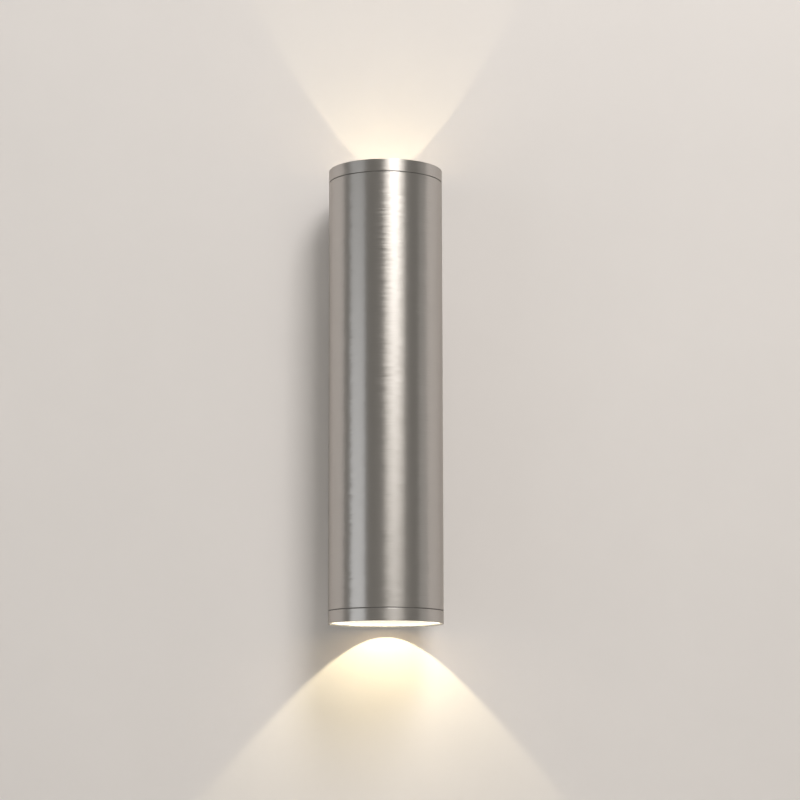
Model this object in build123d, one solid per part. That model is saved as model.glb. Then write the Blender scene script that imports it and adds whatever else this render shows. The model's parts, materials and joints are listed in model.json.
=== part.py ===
from build123d import *
from math import cos, radians, sin, sqrt, tan
import os

# A round tube wall light that shines up and down. Millimetres, +Z up, the wall is the plane y = 0,
# the room is on the -Y side, and the origin is the middle of the two wall screws.

# The tube and what closes it
tube_radius = 37.5
tube_wall = 1.5
light_length = 300.0
wall_gap = 4.0  # from the wall to the back of the tube
cap_rim = 8.0  # the part of an end cap that shows below its seam
cap_mouth_depth = 6.3  # from the rim to the lip that holds the glass
cap_lip_width = 5.0
rim_chamfer = 0.2
skirt_length = 10.0  # threaded part of the cap inside the tube
skirt_wall = 1.75
seal_thickness = 0.6
seal_recess = 0.6  # how far the seal stands back from the tube's surface
thread_clearance = 0.05

# The glass in each cap
glass_thickness = 4.0
glass_clearance = 0.2
glass_bevel = 0.4
lens_gasket_thickness = 1.0
lens_gasket_width = 1.5
clip_thickness = 1.15
clip_width = 1.95
clip_groove_depth = 0.8
clip_opening = 26.0  # degrees
clip_ear_radius = 2.2
clip_ear_hole = 0.8
clip_ear_inset = 0.66  # of an ear's middle inside the ring
clip_clearance = 0.05

# Lamps with twist-lock pins
lamp_face_depth = 20.0  # from the tube's rim to the lamp's face
lamp_radius = 25.0
lamp_length = 47.0  # from the face to the shoulder that meets the holder
lamp_rim_height = 5.0
lamp_base_radius = 13.5
lamp_base_height = 12.0
lamp_neck_height = 3.0
lamp_neck_radius = 16.5
lamp_shell_wall = 3.4
lamp_rim_wall = 1.5
lamp_lens_thickness = 2.6
lamp_lens_clearance = 0.1
lamp_lens_recess = 0.3  # of the lens below the lamp's rim
lens_seat_width = 1.2
board_seat_width = 2.0
lamp_back_wall = 2.0
lamp_base_chamfer = 0.8
lamp_board_depth = 18.0  # from the face to the light board
lamp_board_thickness = 1.6
fin_count = 18
fin_groove_width = 2.4
fin_groove_depth = 1.6
fin_share = 0.84  # of the cone's length
pin_circle_radius = 5.0
pin_neck_radius = 1.4
pin_neck_length = 2.3
pin_head_radius = 2.5
pin_length = 6.0
pin_chamfer = 0.4
twist_angle = 20.0  # degrees from locked to free

# Lamp holders
holder_width = 30.0
holder_depth = 17.0
holder_height = 20.0
holder_corner = 2.5
holder_lip = 2.0  # over the heads of the lamp's pins
holder_pocket_depth = 9.0
pin_clearance = 0.12
contact_width = 3.0
holder_screw_offset = 11.0
holder_head_sink = 3.0
holder_chamfer = 0.8

# Sheet metal inside the tube
strip_width = 24.0
strip_thickness = 1.5
strip_end_gap = 1.0  # from the strip's end to the level of a lamp's shoulder
strip_window_width = 14.0
strip_window_height = 27.0
strip_window_corner = 1.5
wire_hole_radius = 4.0
wire_hole_height = 26.0  # above the middle of the light
bracket_thickness = 1.5
holder_leg_width = 26.0
holder_leg_overhang = 2.0
holder_leg_corner = 3.0
strip_leg_height = 15.0
strip_leg_width = 16.0
leg_screw_inset = 3.8
leg_screw_pitch = 7.5
lead_hole_clearance = 0.6

# Terminal block
block_width = 20.0
block_height = 36.0
block_depth = 12.0
pole_count = 3
pole_pitch = 9.0
clamp_offset = 4.5
clamp_well_radius = 1.9
clamp_well_depth = 4.0
clamp_head_radius = 1.7
clamp_head_height = 1.4
clamp_slot_width = 0.6
clamp_slot_depth = 0.5
entry_depth = 4.0
entry_below_top = 4.8  # from the block's top face to the middle of its wire entries
entry_pitch = 2.2
entry_clearance = 0.25
block_screw_offset = 15.6
block_screw_depth = 7.2
block_hole_depth = 8.2
block_chamfer = 3.0
block_groove_depth = 0.8
block_groove_width = 1.2

# Saddle between the tube and the wall
saddle_width = 44.0
saddle_bar = 11.0  # height of the frame's top and bottom bars
saddle_corner = 6.0
saddle_opening_width = 34.0
saddle_nut_gap = 2.0  # between a nut and the holder bracket beside it
saddle_opening_corner = 3.0
gasket_thickness = 1.0
tube_window_width = 22.0
tube_window_height = 76.0
tube_window_corner = 4.0

# Bracket on the wall
plate_width = 32.0
plate_end_gap = 4.0  # between the bracket's ends and the saddle
plate_thickness = 2.0
plate_flange_depth = 6.2
plate_bend = 1.0
slot_spacing = 60.0
slot_length = 10.0
slot_width = 4.5
cable_radius = 4.0
grommet_wall = 2.0
grommet_flange = 2.0
grommet_flange_thickness = 1.4
earth_screw_height = 15.0
body_earth_height = 25.0

# Fasteners, as nominal radius and head sizes
m4_radius = 2.0
m4_head_radius = 4.0
m4_head_height = 2.2
m4_nut_flats = 7.0
m4_nut_height = 3.2
saddle_screw_length = 12.0
cross_width = 3.6
cross_blade = 0.8
cross_depth = 1.2
grub_depth = 4.0  # from the wall to the middle of a grub screw
grub_socket_flats = 2.0
grub_socket_depth = 2.5
grub_chamfer = 0.5
m3_radius = 1.5
m3_head_radius = 2.7
m3_head_height = 1.8
head_chamfer_share = 0.3
screw_clearance = 0.2
thread_fit = 0.05
tapped_reach = 0.4  # how far a screw's end passes a tapped sheet

# Leads, routed by hand inside the tube
lead_radius = 0.8
lead_spacing = 4.0  # from the middle of a holder to each of its leads
lead_sides = 8
arc_share = 0.45  # of the shorter run beside a corner
tag_thickness = 0.8
tag_margin = 0.9
tag_head_gap = 0.4  # from the earth screw's head to the crimp
tag_tail_length = 5.0
crimp_radius = 1.4

half_length = light_length / 2
axis_y = -(wall_gap + tube_radius)
bore_radius = tube_radius - tube_wall
tube_half = half_length - cap_rim - seal_thickness
strip_back_y = axis_y + sqrt(bore_radius**2 - (strip_width / 2) ** 2)  # its edges touch the bore
strip_front_y = strip_back_y - strip_thickness
lamp_face_z = half_length - lamp_face_depth
lamp_seat_z = lamp_face_z - lamp_length
holder_base_z = lamp_seat_z - holder_height
leg_low_z = holder_base_z - bracket_thickness
saddle_back_y = -gasket_thickness
nut_reach = m4_nut_flats / 2 / cos(radians(30))  # to a nut's corner
saddle_screw_z = holder_base_z + saddle_nut_gap + nut_reach
saddle_opening_height = 2 * saddle_screw_z - saddle_bar
saddle_height = 2 * saddle_screw_z + saddle_bar
plate_height = saddle_opening_height - 2 * plate_end_gap
strip_length = 2 * (lamp_seat_z - strip_end_gap)
block_front_y = strip_front_y - block_depth
entry_y = strip_front_y - entry_below_top
clamp_floor_y = strip_front_y - clamp_well_depth
skirt_radius = bore_radius - thread_clearance
skirt_bore = skirt_radius - skirt_wall
lip_low = cap_rim  # depths from here on are from the rim of the tube's end
glass_near = lip_low + lens_gasket_thickness
glass_far = glass_near + glass_thickness
glass_middle = (glass_near + glass_far) / 2
leg_screw_heights = (leg_low_z - leg_screw_inset, leg_low_z - leg_screw_inset - leg_screw_pitch)
lamp_screw_z = lamp_seat_z - holder_head_sink


def on_axis(shape, height=0.0):
    """Moves a shape from the origin onto the tube's axis."""
    return Pos(0, axis_y, height) * shape


def turned(points):
    """A solid turned about the tube's axis from (radius, height) points."""
    outline = make_face(Polyline(*[(radius, 0, height) for radius, height in points], close=True))
    return on_axis(revolve(outline, Axis.Z))


def flipped(shape):
    """The same piece at the lower end, turned half a turn about the Y axis, so its hand stays."""
    return Rot(0, 180, 0) * shape


def from_wall(sketch, near, far, x=0.0, z=0.0):
    """A prism along Y between two y values, from a sketch drawn as seen from the room."""
    plane = Plane(origin=(x, near, z), x_dir=(1, 0, 0), z_dir=(0, -1, 0))
    return extrude(plane * sketch, near - far)


def wall_hole(radius, near, far, x=0.0, z=0.0):
    return from_wall(Circle(radius), near, far, x, z)


def hexagon(flats):
    return RegularPolygon(flats / 2, 6, major_radius=False)


def pan_screw(radius, head_radius, head_height, reach):
    """Head above the origin, shank down to -reach along Z."""
    head = Pos(0, 0, head_height / 2) * Cylinder(head_radius, head_height)
    head = chamfer(head.edges().group_by(Axis.Z)[-1], head_height * head_chamfer_share)
    return head + Pos(0, 0, -reach / 2) * Cylinder(radius, reach)


def body_tube():
    shell = Cylinder(tube_radius, 2 * tube_half) - Cylinder(bore_radius, 2 * tube_half)
    shell = on_axis(shell)
    window = RectangleRounded(tube_window_width, tube_window_height, tube_window_corner)
    shell -= from_wall(window, 0, axis_y)
    for z in (-saddle_screw_z, saddle_screw_z):
        shell -= wall_hole(m4_radius + screw_clearance, 0, axis_y, z=z)
    return shell


def cap_ring():
    groove_radius = skirt_bore + clip_groove_depth
    clip_far = glass_far + clip_thickness + clip_clearance
    skirt_end = cap_rim + seal_thickness + skirt_length
    depths = [
        (bore_radius, 0),
        (tube_radius, 0),
        (tube_radius, cap_rim),
        (skirt_radius, cap_rim),
        (skirt_radius, skirt_end),
        (skirt_bore, skirt_end),
        (skirt_bore, clip_far),
        (groove_radius, clip_far),
        (groove_radius, glass_far),
        (skirt_bore, glass_far),
        (skirt_bore, lip_low),
        (tube_radius - cap_lip_width, lip_low),
        (tube_radius - cap_lip_width, cap_mouth_depth),
        (bore_radius, cap_mouth_depth),
    ]
    ring = turned([(radius, half_length - depth) for radius, depth in depths])
    rim = [edge for edge in ring.edges().filter_by(GeomType.CIRCLE) if abs(edge.radius - tube_radius) < 0.01]
    return chamfer(rim, rim_chamfer)


def flat_ring(outer, inner, near, far):
    """A ring round the tube's axis between two depths from the upper rim."""
    ring = Cylinder(outer, far - near) - Cylinder(inner, far - near)
    return on_axis(ring, half_length - (near + far) / 2)


def lens_gasket():
    outer = skirt_bore - glass_clearance
    return flat_ring(outer, outer - lens_gasket_width, lip_low, glass_near)


def lens_glass():
    glass = on_axis(Cylinder(skirt_bore - glass_clearance, glass_thickness), half_length - glass_middle)
    return chamfer(glass.edges().filter_by(GeomType.CIRCLE), glass_bevel)


def cap_seal():
    return flat_ring(tube_radius - seal_recess, bore_radius, cap_rim, cap_rim + seal_thickness)


def lens_clip():
    outer = skirt_bore + clip_groove_depth - clip_clearance
    inner = outer - clip_width
    ring = Circle(outer) - Circle(inner)
    half_gap = radians(clip_opening / 2)
    reach = 2 * outer
    corner = (reach * cos(half_gap), reach * sin(half_gap))
    ring -= make_face(Polyline((0, 0), corner, (corner[0], -corner[1]), close=True))
    ear_centre = inner - clip_ear_inset
    for side in (-1, 1):
        angle = side * (half_gap + clip_ear_radius / ear_centre)
        place = Pos(ear_centre * cos(angle), ear_centre * sin(angle))
        ring += place * Circle(clip_ear_radius)
        ring -= place * Circle(clip_ear_hole)
    return on_axis(extrude(ring, clip_thickness), half_length - glass_far - clip_thickness)


def lamp_shell():
    """Base, neck, finned cone and rim, hollow from the face down to below the light board."""
    base_top = lamp_seat_z + lamp_base_height
    cone_low = base_top + lamp_neck_height
    cone_high = lamp_face_z - lamp_rim_height
    lens_seat = lamp_face_z - lamp_lens_thickness
    board_seat = lamp_face_z - lamp_board_depth
    slope = (lamp_radius - lamp_neck_radius) / (cone_high - cone_low)
    board_radius = lamp_radius - slope * (cone_high - board_seat) - lamp_shell_wall
    lens_radius = lamp_radius - lamp_rim_wall
    shell = turned(
        [
            (0, lamp_seat_z),
            (lamp_base_radius - lamp_base_chamfer, lamp_seat_z),
            (lamp_base_radius, lamp_seat_z + lamp_base_chamfer),
            (lamp_base_radius, base_top),
            (lamp_neck_radius, cone_low),
            (lamp_radius, cone_high),
            (lamp_radius, lamp_face_z),
            (lens_radius, lamp_face_z),
            (lens_radius, lens_seat),
            (lens_radius - lens_seat_width, lens_seat),
            (board_radius, board_seat),
            (board_radius - board_seat_width, board_seat),
            (board_radius - board_seat_width, cone_low + lamp_back_wall),
            (0, cone_low + lamp_back_wall),
        ]
    )
    cone_length = sqrt((cone_high - cone_low) ** 2 + (lamp_radius - lamp_neck_radius) ** 2)
    lean = Vector(lamp_radius - lamp_neck_radius, 0, cone_high - cone_low)
    middle = Vector((lamp_radius + lamp_neck_radius) / 2, 0, (cone_high + cone_low) / 2)
    plane = Plane(origin=middle, x_dir=lean, z_dir=Vector(lean.Z, 0, -lean.X))
    groove = plane * Box(cone_length * fin_share, fin_groove_width, 2 * fin_groove_depth)
    for turn in range(fin_count):
        shell -= on_axis(Rot(0, 0, turn * 360 / fin_count) * groove)
    return shell


def lamp_board():
    board_seat = lamp_face_z - lamp_board_depth
    cone_low = lamp_seat_z + lamp_base_height + lamp_neck_height
    cone_high = lamp_face_z - lamp_rim_height
    slope = (lamp_radius - lamp_neck_radius) / (cone_high - cone_low)
    radius = lamp_radius - slope * (cone_high - board_seat) - lamp_shell_wall - lamp_lens_clearance
    return on_axis(Cylinder(radius, lamp_board_thickness), board_seat + lamp_board_thickness / 2)


def lamp_lens():
    radius = lamp_radius - lamp_rim_wall - lamp_lens_clearance
    thickness = lamp_lens_thickness - lamp_lens_recess
    return on_axis(Cylinder(radius, thickness), lamp_face_z - lamp_lens_thickness + thickness / 2)


def pin_places(angle=0.0):
    """The two pins, half a turn apart, on their circle round the tube's axis."""
    for turn in (angle, angle + 180):
        yield Pos(pin_circle_radius * cos(radians(turn)), axis_y + pin_circle_radius * sin(radians(turn)), 0)


def lamp_pins():
    neck = Pos(0, 0, lamp_seat_z - pin_neck_length / 2) * Cylinder(pin_neck_radius, pin_neck_length)
    head_length = pin_length - pin_neck_length
    head = Cylinder(pin_head_radius, head_length)
    head = chamfer(head.edges().filter_by(GeomType.CIRCLE), pin_chamfer)
    head = Pos(0, 0, lamp_seat_z - pin_neck_length - head_length / 2) * head
    return [place * (neck + head) for place in pin_places()]


def pin_track(width, low, high, turn):
    """A curved slot on the pin circle, as long as the lamp's twist."""
    arc = CenterArc((0, 0), pin_circle_radius, turn, twist_angle)
    return on_axis(extrude(SlotArc(arc, width), high - low), low)


def lamp_holder():
    """Ceramic block with a keyhole for each pin and a pocket below it."""
    body = extrude(RectangleRounded(holder_width, holder_depth, holder_corner), holder_height)
    body = on_axis(chamfer(body.edges().group_by(Axis.Z)[-1], holder_chamfer), holder_base_z)
    pocket_top = lamp_seat_z - holder_lip
    pocket_low = lamp_seat_z - holder_pocket_depth
    for turn in (0, 180):
        body -= pin_track(2 * (pin_head_radius + pin_clearance), pocket_low, pocket_top, turn)
        body -= pin_track(2 * (pin_neck_radius + pin_clearance), pocket_top, lamp_seat_z, turn)
    for place in pin_places(twist_angle):
        mouth = Cylinder(pin_head_radius + 2 * pin_clearance, holder_pocket_depth)
        body -= place * Pos(0, 0, lamp_seat_z - holder_pocket_depth / 2) * mouth
    for side in (-1, 1):
        place = Pos(side * holder_screw_offset, axis_y, 0)
        body -= place * Pos(0, 0, holder_base_z + holder_height / 2) * Cylinder(
            m3_radius + screw_clearance, holder_height
        )
        body -= place * Pos(0, 0, lamp_seat_z - holder_head_sink / 2) * Cylinder(
            m3_head_radius + screw_clearance, holder_head_sink
        )
    return body


def holder_contacts():
    low = lamp_seat_z - holder_pocket_depth
    return [pin_track(contact_width, low, lamp_seat_z - pin_length, turn) for turn in (0, 180)]


def holder_screws():
    reach = lamp_screw_z - leg_low_z + tapped_reach
    screw = pan_screw(m3_radius, m3_head_radius, m3_head_height, reach)
    return [Pos(side * holder_screw_offset, axis_y, lamp_screw_z) * screw for side in (-1, 1)]


def holder_bracket():
    """Bent sheet: one leg along the strip, one leg out under the lamp holder."""
    front_y = axis_y - holder_depth / 2 - holder_leg_overhang
    reach = strip_front_y - front_y
    leg = Pos(0, strip_front_y - reach / 2, leg_low_z + bracket_thickness / 2) * Box(
        holder_leg_width, reach, bracket_thickness
    )
    leg = fillet(leg.edges().filter_by(Axis.Z).group_by(Axis.Y)[0], holder_leg_corner)
    upright_z = leg_low_z + bracket_thickness - strip_leg_height / 2
    upright = Pos(0, strip_front_y - bracket_thickness / 2, upright_z) * Box(
        strip_leg_width, bracket_thickness, strip_leg_height
    )
    bracket = leg + upright
    for side in (-1, 1):
        for x, radius in (
            (holder_screw_offset, m3_radius + thread_fit),
            (lead_spacing, lead_radius + lead_hole_clearance),
        ):
            hole = Cylinder(radius, bracket_thickness)
            bracket -= Pos(side * x, axis_y, leg_low_z + bracket_thickness / 2) * hole
    upright_front_y = strip_front_y - bracket_thickness
    for z in leg_screw_heights:
        bracket -= wall_hole(m3_radius + screw_clearance, strip_front_y, upright_front_y, z=z)
    return bracket


def room_screw(x, y, z, reach, radius=m3_radius):
    """A pan screw driven towards the wall, with its head on the plane at y."""
    screw = pan_screw(radius, m3_head_radius, m3_head_height, reach)
    return Pos(x, y, z) * Rot(90, 0, 0) * screw


def wall_side_screw(x, y, z, reach):
    """A pan screw driven towards the room, with its head on the plane at y."""
    return Pos(x, y, z) * Rot(-90, 0, 0) * pan_screw(m3_radius, m3_head_radius, m3_head_height, reach)


def bracket_screws():
    reach = bracket_thickness + strip_thickness + tapped_reach
    return [room_screw(0, strip_front_y - bracket_thickness, z, reach) for z in leg_screw_heights]


def chassis_strip():
    middle_y = (strip_back_y + strip_front_y) / 2
    strip = Pos(0, middle_y, 0) * Box(strip_width, strip_thickness, strip_length)
    window = RectangleRounded(strip_window_width, strip_window_height, strip_window_corner)
    strip -= from_wall(window, strip_back_y, strip_front_y)
    holes = [(0, wire_hole_height, wire_hole_radius), (0, -body_earth_height, m3_radius + thread_fit)]
    for side in (-1, 1):
        holes.append((0, side * saddle_screw_z, m4_radius + screw_clearance))
        holes.append((0, side * block_screw_offset, m3_radius + screw_clearance))
        holes += [(0, side * z, m3_radius + thread_fit) for z in leg_screw_heights]
    for x, z, radius in holes:
        strip -= wall_hole(radius, strip_back_y, strip_front_y, x, z)
    return strip


def pole_heights():
    return [(index - (pole_count - 1) / 2) * pole_pitch for index in range(pole_count)]


def terminal_block():
    """Moulded block with screw wells on the wall side and wire entries on both sides."""
    middle_y = (strip_front_y + block_front_y) / 2
    block = Pos(0, middle_y, 0) * Box(block_width, block_depth, block_height)
    front = block.edges().group_by(Axis.Y)[0].filter_by(Axis.Z)
    block = chamfer(front, block_chamfer)
    entry = SlotCenterToCenter(entry_pitch, 2 * (lead_radius + entry_clearance), rotation=90)
    for z in pole_heights():
        for side in (-1, 1):
            well = wall_hole(clamp_well_radius, strip_front_y, clamp_floor_y, side * clamp_offset, z)
            plane = Plane(origin=(side * block_width / 2, entry_y, z), x_dir=(0, 0, 1), z_dir=(side, 0, 0))
            block -= well + extrude(plane * entry, -entry_depth)
    for z in (-block_screw_offset, block_screw_offset):
        block -= wall_hole(m3_radius + thread_fit, strip_front_y, strip_front_y - block_hole_depth, z=z)
    groove = Box(block_width, 2 * block_groove_depth, block_groove_width)
    for z in (-pole_pitch / 2, pole_pitch / 2):
        block -= Pos(0, block_front_y, z) * groove
    return block


def clamp_screws():
    top_y = clamp_floor_y + clamp_head_height
    slot = Box(2 * clamp_head_radius, clamp_slot_depth * 2, clamp_slot_width)
    screws = []
    for z in pole_heights():
        for side in (-1, 1):
            head = wall_hole(clamp_head_radius, top_y, clamp_floor_y, side * clamp_offset, z)
            screws.append(head - Pos(side * clamp_offset, top_y, z) * slot)
    return screws


def block_screws():
    reach = strip_thickness + block_screw_depth
    return [wall_side_screw(0, strip_back_y, z, reach) for z in (-block_screw_offset, block_screw_offset)]


def lead(points, radius=lead_radius):
    """A wire along straight runs joined by arcs as large as the runs allow."""
    corners = [Vector(*point) for point in points]
    radii = []
    for before, here, after in zip(corners, corners[1:], corners[2:]):
        run_in, run_out = here - before, after - here
        half_turn = radians(run_in.get_angle(run_out) / 2)
        radii.append(arc_share * min(run_in.length, run_out.length) / tan(half_turn))
    print("lead radii", [round(value, 1) for value in radii])
    path = FilletPolyline(*points, radius=radii)
    section = RegularPolygon(radius, lead_sides)
    return sweep(Plane(origin=path @ 0, z_dir=path % 0) * section, path)


rear_entry_y = entry_y + entry_pitch / 2
front_entry_y = entry_y - entry_pitch / 2
lead_end_x = -block_width / 2 + entry_depth / 2


def upper_lamp_leads():
    live = [
        (-lead_spacing, axis_y, holder_base_z),
        (-lead_spacing, axis_y, 40),
        (-21, -24, 26),
        (-19.5, rear_entry_y, pole_pitch),
        (lead_end_x, rear_entry_y, pole_pitch),
    ]
    neutral = [
        (lead_spacing, axis_y, holder_base_z),
        (lead_spacing, axis_y, 38),
        (-20.5, -28, 18),
        (-19.5, rear_entry_y, 0),
        (lead_end_x, rear_entry_y, 0),
    ]
    return [lead(live), lead(neutral)]


def lower_lamp_leads():
    live = [
        (lead_spacing, axis_y, -holder_base_z),
        (lead_spacing, axis_y, -38),
        (-12, -34, -20),
        (-24, -25, -3),
        (-22, front_entry_y, pole_pitch),
        (lead_end_x, front_entry_y, pole_pitch),
    ]
    neutral = [
        (-lead_spacing, axis_y, -holder_base_z),
        (-lead_spacing, axis_y, -40),
        (-20.5, -26, -22),
        (-19.5, front_entry_y, 0),
        (lead_end_x, front_entry_y, 0),
    ]
    return [lead(live), lead(neutral)]


def earth_lead():
    """A ring tag under the body's earth screw and the wire from it to the terminal block."""
    crimp_x = -(m3_head_radius + tag_head_gap + tag_tail_length / 2)
    wire_y = strip_front_y - tag_thickness - lead_radius
    tag = Circle(m3_head_radius + tag_margin) - Circle(m3_radius + screw_clearance)
    tag += Pos(crimp_x, 0) * Rectangle(tag_tail_length, 2 * crimp_radius)
    tag = from_wall(tag, strip_front_y, strip_front_y - tag_thickness, z=-body_earth_height)
    crimp = Pos(crimp_x, wire_y, -body_earth_height) * Rot(0, 90, 0) * Cylinder(crimp_radius, tag_tail_length)
    crimp = split(crimp, Plane(origin=(0, strip_front_y - tag_thickness, 0), z_dir=(0, -1, 0)), keep=Keep.TOP)
    route = [
        (crimp_x, wire_y, -body_earth_height),
        (-19.5, -15, -24),
        (-19, entry_y, -pole_pitch),
        (lead_end_x, entry_y, -pole_pitch),
    ]
    return tag + crimp + lead(route)


def body_earth_screw():
    reach = tag_thickness + strip_thickness + tapped_reach
    return room_screw(0, strip_front_y - tag_thickness, -body_earth_height, reach)


def saddle_outline():
    outside = RectangleRounded(saddle_width, saddle_height, saddle_corner)
    return outside - RectangleRounded(saddle_opening_width, saddle_opening_height, saddle_opening_corner)


def mounting_saddle():
    """Frame with a flat back and a front hollowed to the tube."""
    saddle = from_wall(saddle_outline(), saddle_back_y, axis_y)
    saddle -= on_axis(Cylinder(tube_radius, saddle_height))
    saddle = saddle.solids().sort_by(Axis.Y)[-1]
    bore = Pos(0, -grub_depth, 0) * Rot(0, 90, 0) * Cylinder(m4_radius + thread_fit, saddle_width)
    saddle -= bore
    sink = Cone(m4_radius + screw_clearance, m4_head_radius + screw_clearance, m4_head_height)
    for z in (-saddle_screw_z, saddle_screw_z):
        saddle -= wall_hole(m4_radius + screw_clearance, saddle_back_y, axis_y, z=z)
        saddle -= Pos(0, saddle_back_y - m4_head_height / 2, z) * Rot(-90, 0, 0) * sink
    return saddle


def saddle_screws():
    head = Pos(0, 0, -m4_head_height / 2) * Cone(m4_radius, m4_head_radius, m4_head_height)
    shank = Pos(0, 0, -saddle_screw_length / 2) * Cylinder(m4_radius, saddle_screw_length)
    cross = Box(cross_width, cross_blade, 2 * cross_depth) + Box(cross_blade, cross_width, 2 * cross_depth)
    screw = Rot(-90, 0, 0) * (head + shank - cross)
    return [Pos(0, saddle_back_y, z) * screw for z in (-saddle_screw_z, saddle_screw_z)]


def saddle_nuts():
    nut = hexagon(m4_nut_flats) - Circle(m4_radius + thread_fit)
    far = strip_front_y - m4_nut_height
    return [from_wall(nut, strip_front_y, far, z=z) for z in (-saddle_screw_z, saddle_screw_z)]


def wall_gasket():
    return from_wall(saddle_outline(), 0, saddle_back_y)


def grub_screw():
    """The right-hand one: its point bears on the bracket's flange, its socket faces outwards."""
    tip_x = plate_width / 2
    length = saddle_width / 2 - tip_x
    screw = Pos(0, 0, length / 2) * Cylinder(m4_radius, length)
    screw = chamfer(screw.edges().group_by(Axis.Z)[0], grub_chamfer)
    socket = extrude(hexagon(grub_socket_flats), grub_socket_depth)
    screw -= Pos(0, 0, length - grub_socket_depth) * socket
    return Pos(tip_x, -grub_depth, 0) * Rot(0, 90, 0) * screw


def wall_bracket():
    """Steel channel: a web on the wall and a flange along each side."""
    section = Pos(0, -plate_flange_depth / 2) * Rectangle(plate_width, plate_flange_depth)
    section = fillet(section.vertices().group_by(Axis.Y)[-1], plate_bend + plate_thickness)
    inner_width = plate_width - 2 * plate_thickness
    inner_depth = plate_flange_depth - plate_thickness
    inner = Pos(0, -plate_thickness - inner_depth / 2) * Rectangle(inner_width, inner_depth)
    section -= fillet(inner.vertices().group_by(Axis.Y)[-1], plate_bend)
    bracket = Pos(0, 0, -plate_height / 2) * extrude(section, plate_height)
    slot = SlotOverall(slot_length, slot_width, rotation=90)
    for z in (-slot_spacing / 2, slot_spacing / 2):
        bracket -= from_wall(slot, 0, -plate_thickness, z=z)
    bracket -= wall_hole(cable_radius + grommet_wall, 0, -plate_thickness)
    bracket -= wall_hole(m3_radius + thread_fit, 0, -plate_thickness, z=-earth_screw_height)
    return bracket


def cable_grommet():
    outer = cable_radius + grommet_wall
    far = -plate_thickness - grommet_flange_thickness
    sleeve = wall_hole(outer, 0, -plate_thickness)
    flange = wall_hole(outer + grommet_flange, -plate_thickness, far)
    return sleeve + flange - wall_hole(cable_radius, 0, far)


def bracket_earth_screw():
    return room_screw(0, -plate_thickness, -earth_screw_height, plate_thickness)


single_pieces = {
    "wall_bracket": wall_bracket,
    "cable_grommet": cable_grommet,
    "bracket_earth_screw": bracket_earth_screw,
    "wall_gasket": wall_gasket,
    "mounting_saddle": mounting_saddle,
    "saddle_screws": saddle_screws,
    "saddle_nuts": saddle_nuts,
    "right_grub_screw": grub_screw,
    "body_tube": body_tube,
    "chassis_strip": chassis_strip,
    "terminal_block": terminal_block,
    "terminal_clamp_screws": clamp_screws,
    "terminal_block_screws": block_screws,
    "body_earth_screw": body_earth_screw,
    "earth_lead": earth_lead,
    "upper_lamp_leads": upper_lamp_leads,
    "lower_lamp_leads": lower_lamp_leads,
}

# Made once for the upper end and turned over for the lower end.
end_pieces = {
    "cap_ring": cap_ring,
    "cap_seal": cap_seal,
    "lens_gasket": lens_gasket,
    "lens_glass": lens_glass,
    "lens_clip": lens_clip,
    "lamp_shell": lamp_shell,
    "lamp_light_board": lamp_board,
    "lamp_lens": lamp_lens,
    "lamp_pins": lamp_pins,
    "lamp_holder": lamp_holder,
    "holder_contacts": holder_contacts,
    "holder_screws": holder_screws,
    "holder_bracket": holder_bracket,
    "holder_bracket_screws": bracket_screws,
}


def solids_of(shape):
    """Every solid in a piece, whether it is one solid, a compound or a list of them."""
    group = shape if isinstance(shape, (list, tuple)) else [shape]
    return [solid for member in group for solid in member.solids()]


def save(name, shape):
    solids = solids_of(shape)
    export_step(solids[0] if len(solids) == 1 else Compound(children=solids), f"parts/{name}.step")


os.makedirs("parts", exist_ok=True)
for name, build in single_pieces.items():
    save(name, build())
save("left_grub_screw", Rot(0, 0, 180) * Pos(0, 2 * grub_depth, 0) * grub_screw())
for name, build in end_pieces.items():
    piece = solids_of(build())
    save(f"upper_{name}", piece)
    save(f"lower_{name}", [flipped(solid) for solid in piece])
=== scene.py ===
import json
import math

import bmesh
import bpy
from mathutils import Matrix, Vector


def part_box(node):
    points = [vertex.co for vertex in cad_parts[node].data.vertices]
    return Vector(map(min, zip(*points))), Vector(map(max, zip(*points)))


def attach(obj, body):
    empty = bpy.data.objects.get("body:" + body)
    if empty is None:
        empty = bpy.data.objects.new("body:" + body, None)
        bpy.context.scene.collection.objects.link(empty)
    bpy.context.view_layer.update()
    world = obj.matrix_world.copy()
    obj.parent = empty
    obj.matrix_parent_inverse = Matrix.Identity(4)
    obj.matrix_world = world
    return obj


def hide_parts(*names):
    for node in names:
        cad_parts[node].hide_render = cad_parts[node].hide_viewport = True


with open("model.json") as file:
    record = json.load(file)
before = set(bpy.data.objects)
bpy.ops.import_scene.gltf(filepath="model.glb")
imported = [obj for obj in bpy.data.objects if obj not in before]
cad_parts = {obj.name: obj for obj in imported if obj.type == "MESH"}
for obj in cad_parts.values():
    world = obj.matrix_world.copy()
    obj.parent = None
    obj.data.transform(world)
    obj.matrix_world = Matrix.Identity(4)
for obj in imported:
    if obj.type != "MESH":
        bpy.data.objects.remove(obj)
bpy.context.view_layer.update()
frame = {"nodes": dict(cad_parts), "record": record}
cadNodes = frame["nodes"]
print("frame loaded,", len(cadNodes), "nodes")

# What the CAD says, in metres. The wall is the plane y = 0 and the tube's axis stands off it
tubeLow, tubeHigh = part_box("body_tube")
axisY = (tubeLow.y + tubeHigh.y) / 2
tubeRadius = (tubeHigh.x - tubeLow.x) / 2
tubeTop = tubeHigh.z
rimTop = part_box("upper_cap_ring")[1].z
lensLow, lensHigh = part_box("upper_lamp_lens")
lensRadius = (lensHigh.x - lensLow.x) / 2
slotOf = {entry["node"]: entry["material_slot"] for entry in frame["record"]["subparts"]}
bodyOf = {}
for bodyName, members in frame["record"]["behaviour"]["bodies"].items():
    bodyOf.update({member: bodyName for member in members})

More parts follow.
